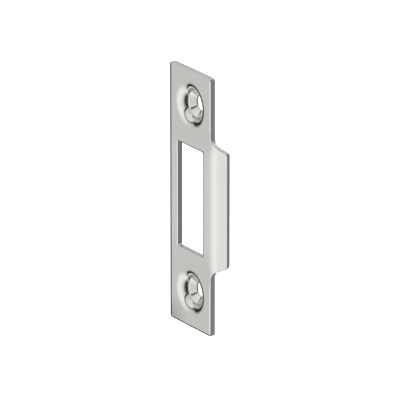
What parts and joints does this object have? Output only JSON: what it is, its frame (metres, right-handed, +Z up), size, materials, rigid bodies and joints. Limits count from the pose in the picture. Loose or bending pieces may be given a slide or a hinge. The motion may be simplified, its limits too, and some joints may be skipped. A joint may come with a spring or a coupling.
{
  "type": "door strike plate",
  "caption": "Pressed steel door strike plate with a window for the bolt, drawn pockets for screw heads and a tapered lip bent back along its long side.",
  "frame": {"origin": "on the back face that lies on the door frame, in the middle of the bolt window, midway between the screws", "axes": "+Z up along the plate's length, +X across its width towards the lip, +Y into the door frame"},
  "size_m": [0.0247, 0.0043, 0.075],
  "materials": {
    "satin_steel": "satin nickel plate on pressed steel sheet"
  },
  "bodies": {
    "root": {"strike_plate": "satin_steel"}
  },
  "joints": []
}
